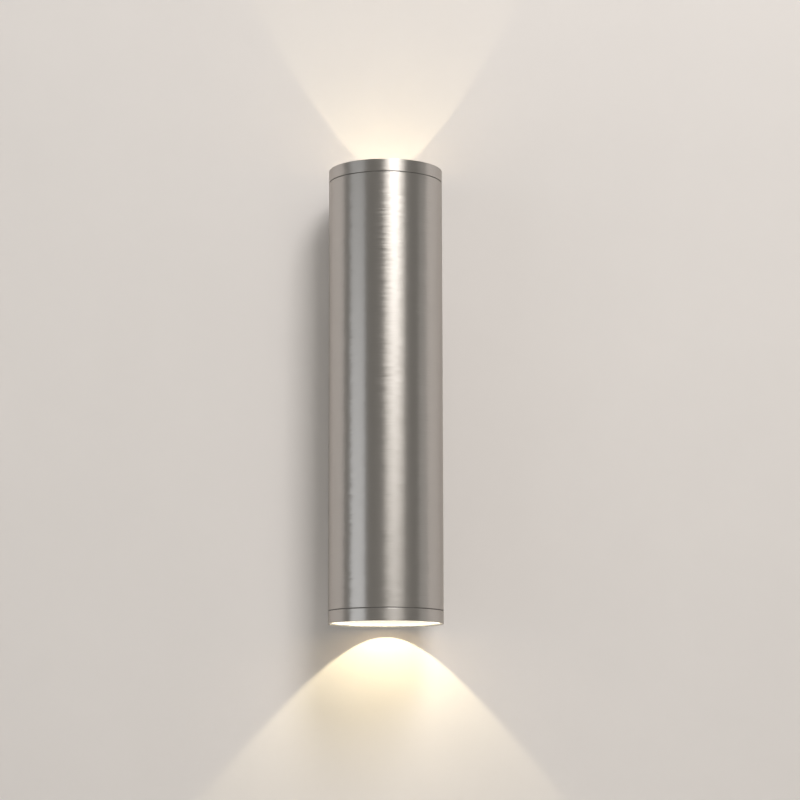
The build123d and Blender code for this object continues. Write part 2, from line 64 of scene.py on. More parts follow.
ends = {"upper": 1, "lower": -1}  # which way each end faces along z
lensShape = {"rings": 9, "rise": 0.0005, "steps": 6}  # for each lamp's lens and its finish


def inScene(name, data):
    placed = bpy.data.objects.new(name, data)
    bpy.context.scene.collection.objects.link(placed)
    return placed


# Fitted to the tube's edges, rims and seams in the photo, in metres, degrees and lens millimetres
view = {"place": (0.0094, -1.6736, -0.2521), "tilt": 98.67, "roll": -0.105, "lens": 113.23, "sensor": 36}

camera = inScene("camera", bpy.data.cameras.new("camera"))
camera.data.lens = view["lens"]
camera.data.sensor_width = view["sensor"]
tilted = Matrix.Rotation(math.radians(view["tilt"]), 4, "X")
rolled = Matrix.Rotation(math.radians(view["roll"]), 4, "Z")
camera.matrix_world = Matrix.Translation(view["place"]) @ tilted @ rolled
bpy.context.scene.camera = camera
bpy.context.scene.view_settings.view_transform = "Standard"


def towards(azimuth, elevation):
    # A direction from the wall into the room: azimuth 0 is -Y and 90 is +X
    around, up = math.radians(azimuth), math.radians(elevation)
    return Vector((math.sin(around) * math.cos(up), -math.cos(around) * math.cos(up), math.sin(up)))


def softBox(name, azimuth, elevation, distance, size, radiance, colour):
    # A rectangular light that faces the origin, which is on the wall behind the tube's middle
    light = bpy.data.lights.new(name, "AREA")
    light.shape = "RECTANGLE"
    light.size, light.size_y = size
    light.energy = math.pi * size[0] * size[1] * radiance
    light.color = colour
    placed = inScene(name, light)
    direction = towards(azimuth, elevation)
    placed.location = direction * distance
    placed.rotation_euler = direction.to_track_quat("Z", "Y").to_euler()
    placed.visible_camera = False
    return placed


studio = {
    "key": dict(
        azimuth=19.5, elevation=42.5, distance=2.3,
        size=(0.64, 0.95), radiance=14.7, colour=(1, 0.965, 0.945),
    ),
    "sheen": dict(
        azimuth=18.5, elevation=22, distance=2.6,
        size=(1.75, 1.1), radiance=1.62, colour=(1, 0.955, 0.87),
    ),
    "cool": dict(
        azimuth=-57, elevation=-3, distance=2.6,
        size=(1.5, 1.6), radiance=0.82, colour=(0.93, 0.965, 1),
    ),
    "side": dict(
        azimuth=81, elevation=0, distance=2.6,
        size=(1.1, 1.6), radiance=0.25, colour=(1, 0.96, 0.92),
    ),
    "rear": dict(
        azimuth=170, elevation=25, distance=2.0,
        size=(1.2, 1.2), radiance=3.2, colour=(1, 1, 1),
    ),
}
for name, settings in studio.items():
    softBox(name, **settings)

roomLight = {"colour": (1, 0.96, 0.88, 1), "strength": 0.23}
world = bpy.data.worlds.new("room")
bpy.context.scene.world = world
world.use_nodes = True
background = world.node_tree.nodes["Background"]
background.inputs["Color"].default_value = roomLight["colour"]
background.inputs["Strength"].default_value = roomLight["strength"]
print("camera and studio light in place")


class Wire:
    # An output of one of a finish's nodes. An expression on wires adds its Math nodes to the finish
    def __init__(self, finish, socket):
        self.finish = finish
        self.socket = socket

    def __add__(self, other):
        return self.finish.maths("ADD", self, other)

    def __radd__(self, other):
        return self.finish.maths("ADD", other, self)

    def __sub__(self, other):
        return self.finish.maths("SUBTRACT", self, other)

    def __rsub__(self, other):
        return self.finish.maths("SUBTRACT", other, self)

    def __mul__(self, other):
        return self.finish.maths("MULTIPLY", self, other)

    def __rmul__(self, other):
        return self.finish.maths("MULTIPLY", other, self)

    def __lt__(self, other):
        return self.finish.maths("LESS_THAN", self, other)

    def __gt__(self, other):
        return self.finish.maths("GREATER_THAN", self, other)

    def __abs__(self):
        return self.finish.maths("ABSOLUTE", self)

    def part(self, which):
        # Another output of the same node
        return Wire(self.finish, self.socket.node.outputs[which])


class Finish:
    # One material: its shader, its constants, and the nodes that vary it over the surface
    def __init__(self, name, constants):
        self.material = bpy.data.materials.new(name)
        self.material.use_nodes = True
        self.tree = self.material.node_tree
        self.shader = self.tree.nodes["Principled BSDF"]
        for socketName, value in constants.items():
            self.shader.inputs[socketName].default_value = value

    def plug(self, socket, value):
        if isinstance(value, Wire):
            self.tree.links.new(value.socket, socket)
        else:
            socket.default_value = value

    def node(self, kind, settings=None, sockets=None, output=0):
        made = self.tree.nodes.new("ShaderNode" + kind)
        for setting, value in (settings or {}).items():
            setattr(made, setting, value)
        for key, value in (sockets or {}).items():
            self.plug(made.inputs[key], value)
        return Wire(self, made.outputs[output])

    def feed(self, **values):
        for key, value in values.items():
            socketName = {"colour": "Base Color", "glow": "Emission Color"}.get(key, key.capitalize())
            self.plug(self.shader.inputs[socketName], value)

    def maths(self, operation, *values):
        return self.node("Math", {"operation": operation}, dict(enumerate(values)))

    def vector(self, operation, *values):
        return self.node("VectorMath", {"operation": operation}, dict(enumerate(values)))

    def place(self, scale=(1, 1, 1)):
        # Position in metres, with each axis multiplied by its scale
        return self.vector("MULTIPLY", self.node("TexCoord", output="Object"), scale)

    def axes(self):
        x = self.node("SeparateXYZ", {}, {0: self.place()})
        return x, x.part("Y"), x.part("Z")

    def fromAxis(self):
        # How far a point is from the tube's axis
        x, y, z = self.axes()
        return self.maths("SQRT", x * x + (y - axisY) * (y - axisY))

    def noise(self, where, scale=1.0, detail=2.0, rough=0.5):
        sockets = {"Vector": where, "Scale": scale, "Detail": detail, "Roughness": rough}
        return self.node("TexNoise", {}, sockets)

    def span(self, value, start, end, low, high, shape="LINEAR"):
        # Carries the values from start to end over to the range from low to high
        sockets = {"Value": value, "From Min": start, "From Max": end, "To Min": low, "To Max": high}
        return self.node("MapRange", {"interpolation_type": shape}, sockets)

    def spread(self, noise, low, high):
        # Most of a noise lies between a quarter and three quarters, and that goes over the whole range
        return self.span(noise, 0.25, 0.75, low, high)

    def mix(self, share, first, second):
        # Inputs 6 and 7 of a Mix node are its colours, and output 2 is the mixed one
        return self.node("Mix", {"data_type": "RGBA"}, {0: share, 6: first, 7: second}, output=2)

    def bump(self, height, distance):
        return self.node("Bump", {}, {"Height": height, "Distance": distance, "Strength": 1.0})

    def grained(self, grain, low, high, depth):
        # Lets a grain show in the roughness, from low to high, and as a bump of some depth
        self.feed(roughness=self.spread(grain, low, high), normal=self.bump(grain, depth))


def shade(colour, factor):
    return (colour[0] * factor, colour[1] * factor, colour[2] * factor, 1)


def brushedNickel():
    # Turned on a lathe: fine rings, a little uneven in tone, tilt and gloss. Matt grey in the mouths
    look = {
        "colour": (0.56, 0.54, 0.523), "edgeTint": (0.68, 0.66, 0.64, 1), "uneven": 0.015, "fineShare": 0.6,
        "roughness": 0.305, "glossSpread": 0.02, "tiltRound": 0.16, "tiltAlong": 0.03,
    }
    marks = {"rings": (45, 45, 2600), "dashes": (80, 80, 2300), "bands": (12, 12, 160)}
    mouth = {"radius": 0.0369, "depth": 0.0071, "colour": (0.44, 0.43, 0.40, 1), "rougher": 0.3}
    finish = Finish("brushedNickel", {
        "Metallic": 1.0, "Anisotropic": 0.7, "Anisotropic Rotation": 0.25, "Specular Tint": look["edgeTint"],
    })
    rings = finish.noise(finish.place(marks["rings"]), detail=3.0, rough=0.6)
    dashes = finish.noise(finish.place(marks["dashes"]), detail=1.0)
    bands = finish.noise(finish.place(marks["bands"]))
    fineTone, broadTone = finish.spread(rings, 0, 1), finish.spread(bands, 0, 1)
    tone = fineTone * look["fineShare"] + broadTone * (1 - look["fineShare"])
    darker, lighter = (shade(look["colour"], 1 + sign * look["uneven"]) for sign in (-1, 1))
    inMouth = (finish.fromAxis() < mouth["radius"]) * (abs(finish.axes()[2]) > rimTop - mouth["depth"])
    outward = finish.node("NewGeometry", output="Normal")
    sideways = finish.vector("CROSS_PRODUCT", (0, 0, 1), outward)
    leaning = finish.vector("MULTIPLY_ADD", sideways, (dashes - 0.5) * look["tiltRound"], outward)
    nodding = finish.node("CombineXYZ", {}, {"Z": (rings - 0.5) * look["tiltAlong"]})
    glossier, duller = (look["roughness"] + sign * look["glossSpread"] for sign in (-1, 1))
    finish.feed(colour=finish.mix(inMouth, finish.mix(tone, darker, lighter), mouth["colour"]))
    finish.feed(metallic=1 - inMouth)
    finish.feed(roughness=finish.spread(rings, glossier, duller) + inMouth * mouth["rougher"])
    finish.feed(normal=finish.vector("NORMALIZE", finish.vector("ADD", leaning, nodding)))
    return finish.material


def satinNickel():
    deep, bright = (0.50, 0.475, 0.44, 1), (0.57, 0.545, 0.51, 1)
    finish = Finish("satinNickel", {"Metallic": 1.0})
    grain = finish.noise(finish.place(), scale=900, detail=3.0)
    cloud = finish.noise(finish.place(), scale=60)
    finish.feed(colour=finish.mix(finish.spread(cloud, 0, 1), deep, bright))
    finish.grained(grain, low=0.30, high=0.42, depth=0.00002)
    return finish.material


def zincPlate():
    # Rolled sheet under bright zinc, with a faint straw and blue cast in patches
    blue, straw, rollMark = (0.60, 0.64, 0.69, 1), (0.68, 0.66, 0.60, 1), (0.46, 0.47, 0.48, 1)
    finish = Finish("zincPlate", {"Metallic": 1.0})
    rolled = finish.noise(finish.place((700, 700, 40)), detail=3.0)
    cast = finish.noise(finish.place(), scale=55, detail=1.0)
    zinc = finish.mix(finish.spread(cast, 0, 1), blue, straw)
    finish.feed(colour=finish.mix(finish.spread(rolled, 0, 0.35), zinc, rollMark))
    finish.grained(rolled, low=0.26, high=0.42, depth=0.00001)
    return finish.material


def plainSteel():
    dull, bright = (0.42, 0.42, 0.41, 1), (0.62, 0.61, 0.59, 1)
    finish = Finish("plainSteel", {"Metallic": 1.0})
    grain = finish.noise(finish.place(), scale=1400)
    finish.feed(colour=finish.mix(grain, dull, bright))
    finish.grained(grain, low=0.22, high=0.36, depth=0.00001)
    return finish.material


def springSteel():
    blued, straw = (0.17, 0.19, 0.23, 1), (0.26, 0.24, 0.22, 1)
    finish = Finish("springSteel", {"Metallic": 1.0})
    grain = finish.noise(finish.place(), scale=700, detail=3.0)
    heat = finish.noise(finish.place(), scale=40, detail=1.0)
    finish.feed(colour=finish.mix(finish.spread(heat, 0, 1), blued, straw))
    finish.grained(grain, low=0.3, high=0.45, depth=0.00001)
    return finish.material


def blackSteel():
    oxide, rubbed = (0.02, 0.02, 0.022, 1), (0.07, 0.068, 0.065, 1)
    finish = Finish("blackSteel", {"Metallic": 1.0})
    grain = finish.noise(finish.place(), scale=1500)
    finish.feed(colour=finish.mix(grain, oxide, rubbed))
    finish.grained(grain, low=0.35, high=0.5, depth=0.00001)
    return finish.material


def brass(name, brightness):
    clean, tarnished = shade((0.80, 0.60, 0.28), brightness), (0.42, 0.28, 0.11, 1)
    finish = Finish(name, {"Metallic": 1.0})
    grain = finish.noise(finish.place(), scale=800, detail=3.0)
    tarnish = finish.noise(finish.place(), scale=120)
    finish.feed(colour=finish.mix(finish.spread(tarnish, 0, 0.7), clean, tarnished))
    finish.grained(grain, low=0.22, high=0.4, depth=0.00001)
    return finish.material


def blackRubber():
    # Painted light: the seal is painted light grey where it shows in the seams at the ends, in place of
    # light reaching into them
    black, bloomed, paintedLitGrey = (0.020, 0.020, 0.020, 1), (0.034, 0.033, 0.032, 1), (0.21, 0.205, 0.20, 1)
    seam = {"depth": 0.001, "fromMiddle": 0.9}
    finish = Finish("blackRubber", {"Specular IOR Level": 0.35})
    grain = finish.noise(finish.place(), scale=1600, detail=3.0)
    bloom = finish.noise(finish.place(), scale=90)
    fresh = finish.mix(finish.spread(bloom, 0, 1), black, bloomed)
    nearSurface = finish.fromAxis() > tubeRadius - seam["depth"]
    inSeam = nearSurface * (abs(finish.axes()[2]) > seam["fromMiddle"] * rimTop)
    # the seams get the painted light grey, the rest keeps the rubber's own black
    finish.feed(colour=finish.mix(inSeam, fresh, paintedLitGrey))
    finish.grained(grain, low=0.55, high=0.8, depth=0.00003)
    return finish.material


def blackFoam():
    # Closed-cell foam: small round pores, matt, with painted shade darkening the pores
    pit, skin = (0.008, 0.008, 0.008, 1), (0.045, 0.045, 0.046, 1)
    finish = Finish("blackFoam", {"Specular IOR Level": 0.2})
    pores = finish.node("TexVoronoi", {}, {"Vector": finish.place(), "Scale": 1500})
    # the pores get a darker colour as painted shade
    finish.feed(colour=finish.mix(finish.spread(pores, 0, 1), pit, skin))
    finish.grained(pores, low=0.8, high=0.95, depth=0.0002)
    return finish.material


def clearSilicone():
    grey, milky = (0.72, 0.74, 0.74, 1), (0.86, 0.87, 0.86, 1)
    finish = Finish("clearSilicone", {"Subsurface Weight": 0.4, "Subsurface Scale": 0.002, "IOR": 1.41})
    haze = finish.noise(finish.place(), scale=400)
    finish.feed(colour=finish.mix(haze, grey, milky))
    finish.grained(haze, low=0.3, high=0.45, depth=0.00002)
    return finish.material


def clearGlass():
    greenish, clear = (0.975, 0.99, 0.985, 1), (0.99, 1, 0.995, 1)
    finish = Finish("clearGlass", {"Transmission Weight": 1.0, "IOR": 1.52})
    film = finish.noise(finish.place(), scale=60)
    finish.feed(colour=finish.mix(film, greenish, clear), roughness=finish.spread(film, 0, 0.02))
    return finish.material


def whiteShell():
    # Powder coat on die-cast aluminium
    dull, white = (0.76, 0.76, 0.745, 1), (0.82, 0.82, 0.81, 1)
    finish = Finish("whiteShell", {"Coat Weight": 0.15, "Coat Roughness": 0.3})
    peel = finish.noise(finish.place(), scale=700)
    cloud = finish.noise(finish.place(), scale=60)
    finish.feed(colour=finish.mix(finish.spread(cloud, 0, 1), dull, white))
    finish.grained(peel, low=0.36, high=0.48, depth=0.00004)
    return finish.material


def lightBoard():
    # White mask, raised and a little darker over the copper tracks
    white, overTrack, trackWidth = (0.84, 0.85, 0.84, 1), (0.70, 0.73, 0.70, 1), 0.06
    finish = Finish("lightBoard", {"Coat Weight": 0.3, "Coat Roughness": 0.2})
    mask = finish.noise(finish.place(), scale=1200)
    sockets = {"Vector": finish.place(), "Scale": 160}
    cells = finish.node("TexVoronoi", {"feature": "DISTANCE_TO_EDGE"}, sockets)
    onTrack = cells < trackWidth
    finish.feed(colour=finish.mix(onTrack, white, overTrack))
    finish.feed(roughness=finish.spread(mask, 0.3, 0.4), normal=finish.bump(onTrack, 0.00003))
    return finish.material


def litLens():
    # The lamp's front lens, lit: warmer towards its edge, and darker between the rings of its moulding
    look = {
        "edge": (1.0, 0.80, 0.56, 1), "middle": (1.0, 0.93, 0.80, 1), "grooves": (0.42, 0.33, 0.22, 1),
        "unlit": (0.45, 0.45, 0.44, 1), "hotRadius": 0.005, "warmRadius": 0.023, "strength": 0.8,
    }
    finish = Finish("litLens", {"Roughness": 0.25, "Emission Strength": look["strength"]})
    away = finish.fromAxis()
    hot = finish.span(away, look["hotRadius"], look["warmRadius"], 1, 0, shape="SMOOTHSTEP")
    light = finish.mix(hot, look["edge"], look["middle"])
    between = 0.5 - finish.maths("COSINE", away * (2 * math.pi * lensShape["rings"] / lensRadius)) * 0.5
    finish.feed(glow=finish.mix(between, light, look["grooves"]), colour=look["unlit"])
    return finish.material


def litPhosphor():
    amber, yellow, unlit = (1.0, 0.74, 0.36, 1), (1.0, 0.86, 0.52, 1), (0.85, 0.62, 0.12, 1)
    finish = Finish("litPhosphor", {"Roughness": 0.4, "Emission Strength": 12.0})
    grain = finish.noise(finish.place(), scale=2500, detail=1.0)
    finish.feed(glow=finish.mix(grain, amber, yellow), colour=unlit)
    return finish.material


def ceramic():
    biscuit, white = (0.74, 0.71, 0.65, 1), (0.83, 0.81, 0.76, 1)
    finish = Finish("ceramic", {"Coat Weight": 0.25, "Coat Roughness": 0.25})
    grain = finish.noise(finish.place(), scale=1100, detail=4.0)
    cloud = finish.noise(finish.place(), scale=90)
    finish.feed(colour=finish.mix(finish.spread(cloud, 0, 1), biscuit, white))
    finish.grained(grain, low=0.45, high=0.65, depth=0.00005)
    return finish.material


def whiteMoulding():
    ivory, white = (0.77, 0.77, 0.74, 1), (0.83, 0.83, 0.80, 1)
    finish = Finish("whiteMoulding", {"Subsurface Weight": 0.15, "Subsurface Scale": 0.002})
    grain = finish.noise(finish.place(), scale=1500)
    flow = finish.noise(finish.place((30, 30, 120)))
    finish.feed(colour=finish.mix(finish.spread(flow, 0, 1), ivory, white))
    finish.grained(grain, low=0.35, high=0.5, depth=0.00002)
    return finish.material


def earthSleeve():
    # Green wire with a yellow stripe that winds slowly round it
    green, yellow = (0.03, 0.22, 0.05, 1), (0.75, 0.62, 0.03, 1)
    stripe = {"across": 900, "along": 500, "above": 0.1}
    finish = Finish("earthSleeve", {})
    x, y, z = finish.axes()
    winding = finish.maths("SINE", x * stripe["across"] + z * stripe["along"])
    grain = finish.noise(finish.place(), scale=1500)
    finish.feed(colour=finish.mix(winding > stripe["above"], green, yellow))
    finish.grained(grain, low=0.35, high=0.5, depth=0.00001)
    return finish.material


def whiteSleeve():
    # Braided glass fibre
    shadow, white = (0.66, 0.65, 0.61, 1), (0.80, 0.79, 0.76, 1)
    finish = Finish("whiteSleeve", {"Subsurface Weight": 0.2, "Subsurface Scale": 0.001})
    braid = finish.node("TexWave", {"bands_direction": "DIAGONAL"}, {"Vector": finish.place(), "Scale": 700})
    finish.feed(colour=finish.mix(finish.spread(braid, 0, 1), shadow, white))
    finish.grained(braid, low=0.45, high=0.6, depth=0.00006)
    return finish.material


finishes = {
    "brushed_nickel": brushedNickel(),
    "satin_nickel_saddle": satinNickel(),
    "zinc_plated_steel": zincPlate(),
    "plain_steel": plainSteel(),
    "spring_steel": springSteel(),
    "black_steel": blackSteel(),
    "brass_screw": brass("brassScrew", 0.95),
    "brass_contact": brass("brassContact", 1.0),
    "black_rubber": blackRubber(),
    "black_foam": blackFoam(),
    "clear_silicone": clearSilicone(),
    "clear_glass": clearGlass(),
    "white_lamp_body": whiteShell(),
    "light_board": lightBoard(),
    "lamp_lens": litLens(),
    "ceramic": ceramic(),
    "white_moulding": whiteMoulding(),
    "green_yellow_lead": earthSleeve(),
    "white_lead": whiteSleeve(),
}
print("finishes made:", len(finishes))


def coat(piece, slotName):
    piece.data.materials.clear()
    piece.data.materials.append(finishes[slotName])


for nodeName, node in cadNodes.items():
    coat(node, slotOf[nodeName])

# The wall stands a gap behind the plane y = 0. Its opening for the rear light is given from the middle
room = {
    "wall": (0.83, 0.805, 0.79), "floor": (0.80, 0.785, 0.76), "uneven": 0.015, "floorLevel": -1.25,
    "width": 60.0, "wallHeight": 12.0, "wallMiddle": 2.0, "gap": 0.0003, "openAcross": 0.04, "openUp": 0.16,
}


def stagePaint(name, colour):
    finish = Finish(name, {"Specular IOR Level": 0.2})
    nap = finish.noise(finish.place(), scale=9, detail=5.0, rough=0.65)
    darker, lighter = (shade(colour, 1 + sign * room["uneven"]) for sign in (-1, 1))
    finish.feed(colour=finish.mix(finish.spread(nap, 0, 1), darker, lighter))
    finish.feed(roughness=finish.spread(nap, 0.8, 0.9))
    return finish


def stagePlane(name, width, height, place, tilt, material):
    mesh = bpy.data.meshes.new(name)
    x, y = width / 2, height / 2
    mesh.from_pydata([(-x, -y, 0), (x, -y, 0), (x, y, 0), (-x, y, 0)], [], [(0, 1, 2, 3)])
    mesh.transform(Matrix.Translation(place) @ Matrix.Rotation(math.radians(tilt), 4, "X"))
    mesh.materials.append(material)
    inScene(name, mesh)


def wallPaint():
    # From behind the wall isn't there. Its opening lets light through, and the camera doesn't see it
    finish = stagePaint("wallPaint", room["wall"])
    fromCamera = finish.node("LightPath", output="Is Camera Ray")
    x, y, z = finish.axes()
    opening = (abs(x) < room["openAcross"]) * (abs(z) < room["openUp"]) * (1 - fromCamera)
    clear = finish.maths("MAXIMUM", opening, finish.node("NewGeometry", output="Backfacing"))
    painted = Wire(finish, finish.shader.outputs["BSDF"])
    shown = finish.node("MixShader", {}, {0: clear, 1: painted, 2: finish.node("BsdfTransparent")})
    finish.plug(finish.tree.nodes["Material Output"].inputs["Surface"], shown)
    return finish.material


wallPlace = (0, room["gap"], room["wallMiddle"])
stagePlane("wall", room["width"], room["wallHeight"], wallPlace, 90, wallPaint())
floorPaint = stagePaint("floorPaint", room["floor"]).material
stagePlane("floor", room["width"], room["width"], (0, 0, room["floorLevel"]), 0, floorPaint)
print("wall and floor in place")


def softened(outline, radius, share=0.25, flat=1.7):
    # Rounds each corner of a closed outline of (radius, height) points, by no more than a share of a side.
    # A further point on each side of a round keeps the shading of the long walls flat
    rounded = []
    count = len(outline)
    for index in range(count):
        before, here, after = (Vector(outline[(index + step) % count]) for step in (-1, 0, 1))
        cut = min(radius, (before - here).length * share, (after - here).length * share)
        back, on = (before - here).normalized() * cut, (after - here).normalized() * cut
        rounded += [here + back * flat, here + back, here + (back + on) / 4, here + on, here + on * flat]
    return rounded


def threadRows(radius, start, end, pitch, perTurn=6):
    # Outline points down a threaded wall, close enough together for its helix
    count = round(abs(end - start) / pitch * perTurn)
    return [(radius, start + (end - start) * step / count) for step in range(count + 1)]


# A ridge is a triangle wave, made steeper and lowered, then cut off at the root and the crest
threadForm = {"steeper": 2.4, "lowered": 0.7, "near": 1e-5}


def threadReach(thread, radius, height, turn):
    # How far a thread moves a point of its wall out. Points off that wall stay
    onWall = abs(radius - thread["radius"]) < threadForm["near"]
    if not onWall or not thread["low"] < height < thread["high"]:
        return 0
    phase = (height / thread["pitch"] - turn / (2 * math.pi)) % 1
    ridge = threadForm["steeper"] * (1 - abs(2 * phase - 1)) - threadForm["lowered"]
    return thread["depth"] * min(1, max(0, ridge))


def turned(name, outline, segments=176, thread=None, centre=(0, axisY)):
    # A closed outline of (radius, height) points turned about a vertical axis
    points = []
    for radius, height in outline:
        for step in range(segments):
            turn = 2 * math.pi * step / segments
            reach = radius + (threadReach(thread, radius, height, turn) if thread else 0)
            points.append((centre[0] + reach * math.cos(turn), centre[1] + reach * math.sin(turn), height))
    faces = []
    for row in range(len(outline)):
        nextRow = (row + 1) % len(outline)
        for step in range(segments):
            nextStep = (step + 1) % segments
            corners = [(row, step), (row, nextStep), (nextRow, nextStep), (nextRow, step)]
            faces.append([r * segments + s for r, s in corners])
    mesh = bpy.data.meshes.new(name)
    mesh.from_pydata(points, [], faces)
    return finished(name, mesh)


def meshFrom(name, shape):
    mesh = bpy.data.meshes.new(name)
    shape.to_mesh(mesh)
    shape.free()
    return mesh


def finished(name, mesh, sharpAngle=32, merge=1e-7):
    # Normals outwards, smooth shading with sharp edges kept, and an object for the mesh
    shape = bmesh.new()
    shape.from_mesh(mesh)
    bmesh.ops.remove_doubles(shape, verts=shape.verts, dist=merge)
    bare = [edge for edge in shape.edges if not edge.link_faces]
    bmesh.ops.delete(shape, geom=bare, context="EDGES")
    bmesh.ops.recalc_face_normals(shape, faces=shape.faces)
    shape.to_mesh(mesh)
    shape.free()
    mesh.shade_smooth()
    mesh.set_sharp_from_angle(angle=math.radians(sharpAngle))
    return inScene(name, mesh)


def cutOut(piece, cutters):
    # A new piece of the same name, with the cutters taken out of it
    for cutter in cutters:
        carve = piece.modifiers.new("cut", "BOOLEAN")
        carve.object = cutter
        carve.solver = "EXACT"
    bpy.context.view_layer.update()
    evaluated = piece.evaluated_get(bpy.context.evaluated_depsgraph_get())
    carved = bpy.data.meshes.new_from_object(evaluated)
    name = piece.name
    for spare in [piece, *cutters]:
        bpy.data.objects.remove(spare)
    return finished(name, carved)


def rodAlongY(radius, low, high, z, segments=40):
    shape = bmesh.new()
    bmesh.ops.create_cone(
        shape, cap_ends=True, segments=segments, radius1=radius, radius2=radius, depth=high - low
    )
    place = Matrix.Translation((0, (low + high) / 2, z)) @ Matrix.Rotation(math.radians(90), 4, "X")
    bmesh.ops.transform(shape, matrix=place, verts=shape.verts)
    return inScene("rod", meshFrom("rod", shape))


def roundedPrism(width, height, corner, low, high, steps=8):
    # A block along Y with rounded corners in XZ
    outline = []
    for quarter, (signX, signZ) in enumerate(((1, 1), (-1, 1), (-1, -1), (1, -1))):
        for step in range(steps + 1):
            turn = math.radians(90 * (quarter + step / steps))
            x = signX * (width / 2 - corner) + corner * math.cos(turn)
            outline.append((x, signZ * (height / 2 - corner) + corner * math.sin(turn)))
    shape = bmesh.new()
    face = shape.faces.new([shape.verts.new((x, low, z)) for x, z in outline])
    grown = bmesh.ops.extrude_face_region(shape, geom=[face])
    raised = [item for item in grown["geom"] if isinstance(item, bmesh.types.BMVert)]
    bmesh.ops.translate(shape, verts=raised, vec=(0, high - low, 0))
    bmesh.ops.recalc_face_normals(shape, faces=shape.faces)
    return inScene("prism", meshFrom("prism", shape))


def standsFor(piece, nodeName):
    # The piece is shown in place of a CAD node, on its body and in its finish
    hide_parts(nodeName)
    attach(piece, bodyOf[nodeName])
    coat(piece, slotOf[nodeName])


tubeShape = {
    "wall": 0.0015, "edge": 0.00012, "threadLength": 0.0106, "threadInset": 0.0004, "pitch": 0.0015,
    "threadDepth": 0.0004,
}
bore = tubeRadius - tubeShape["wall"]


def tubePiece():
    top, inner, inset = tubeTop, tubeTop - tubeShape["threadLength"], tubeShape["threadInset"]
    corners = [(bore, top), (tubeRadius, top), (tubeRadius, -top), (bore, -top)]
    outline = softened(corners, tubeShape["edge"])[2:-2]  # the bore's own points come from its threads
    outline += threadRows(bore, -top + inset, -inner, tubeShape["pitch"])
    outline += threadRows(bore, inner, top - inset, tubeShape["pitch"])
    thread = dict(low=-top, high=top, radius=bore, pitch=tubeShape["pitch"], depth=tubeShape["threadDepth"])
    return turned("tube", outline, thread=thread)


# The window in the tube's back and the saddle's two screw holes, all cut from the axis to past the wall
backShape = {
    "width": 0.022, "height": 0.076, "corner": 0.004, "hole": 0.0022, "screwHead": 0.004, "past": 0.001,
}


def backCutters():
    s = backShape
    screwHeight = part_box("saddle_screws")[1].z - s["screwHead"]
    window = roundedPrism(s["width"], s["height"], s["corner"], axisY, s["past"])
    return [window, *(rodAlongY(s["hole"], axisY, s["past"], side * screwHeight) for side in (-1, 1))]


tube = cutOut(tubePiece(), backCutters())
standsFor(tube, "body_tube")

# Radii of the walls and depths below the rim. The thread runs out short of the skirt's end and the neck
capShape = {
    "rim": 0.008, "mouthDepth": 0.0063, "lip": 0.0325, "skirt": 0.03595, "skirtBore": 0.0342,
    "skirtEnd": 0.0186, "glassFar": 0.013, "clipFar": 0.0142, "clipGroove": 0.0350, "edge": 0.00015,
    "flare": 0.0009, "threadStart": 0.0004, "neck": 0.0012, "runOut": 0.0001, "threadDepth": -0.0005,
}


def capPiece(name, side):
    s = capShape
    depths = [
        (s["skirt"], s["rim"]), (tubeRadius, s["rim"]), (tubeRadius, 0), (bore + s["flare"], 0),
        (bore, s["flare"]), (bore, s["mouthDepth"]),
        (s["lip"], s["mouthDepth"]), (s["lip"], s["rim"]), (s["skirtBore"], s["rim"]),
        (s["skirtBore"], s["glassFar"]), (s["clipGroove"], s["glassFar"]), (s["clipGroove"], s["clipFar"]),
        (s["skirtBore"], s["clipFar"]), (s["skirtBore"], s["skirtEnd"]), (s["skirt"], s["skirtEnd"]),
    ]
    first, last = s["skirtEnd"] - s["threadStart"], s["rim"] + s["neck"]
    outline = softened(depths, s["edge"])[2:-2]  # the skirt's own points come from its thread
    outline += threadRows(s["skirt"], first, last, tubeShape["pitch"])
    outline = [(radius, side * (rimTop - depth)) for radius, depth in outline]
    low, high = sorted(side * (rimTop - depth) for depth in (first + s["runOut"], last - s["runOut"]))
    thread = dict(low=low, high=high, radius=s["skirt"], pitch=tubeShape["pitch"], depth=s["threadDepth"])
    return turned(name, outline, thread=thread)


for end, side in ends.items():
    standsFor(capPiece(end + "_cap", side), end + "_cap_ring")
print("tube and caps turned")


def lensPiece(name, side, nodeName):
    # A disc with round-topped rings in its front
    low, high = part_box(nodeName)
    face, back = (high.z, low.z) if side > 0 else (low.z, high.z)
    outline = [(0, back), (lensRadius, back)]
    count = lensShape["rings"] * lensShape["steps"]
    for step in range(count + 1):
        share = 1 - step / count
        wave = 0.5 - 0.5 * math.cos(2 * math.pi * share * lensShape["rings"])
        outline.append((lensRadius * share, face - side * lensShape["rise"] * wave))
    return turned(name, outline, segments=128)


ledShape = {"size": (0.0034, 0.0028, 0.0007), "edge": 0.0002, "ring": 0.0085, "count": 6}


def ledPiece(name, side, nodeName):
    # Packages in a ring round one in the middle, standing on the light board
    low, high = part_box(nodeName)
    middle = (high.z if side > 0 else low.z) + side * ledShape["size"][2] / 2
    shape = bmesh.new()
    places = [(0, 0, 0)]
    for index in range(ledShape["count"]):
        turn = 2 * math.pi * index / ledShape["count"]
        places.append((ledShape["ring"] * math.cos(turn), ledShape["ring"] * math.sin(turn), turn))
    for x, y, turn in places:
        made = bmesh.ops.create_cube(shape, size=1)["verts"]
        place = Matrix.Translation((x, axisY + y, middle))
        scale = Matrix.Diagonal((*ledShape["size"], 1))
        bmesh.ops.transform(shape, matrix=place @ Matrix.Rotation(turn, 4, "Z") @ scale, verts=made)
    bmesh.ops.bevel(shape, geom=shape.edges[:], offset=ledShape["edge"], segments=2, affect="EDGES")
    return finished(name, meshFrom(name, shape))


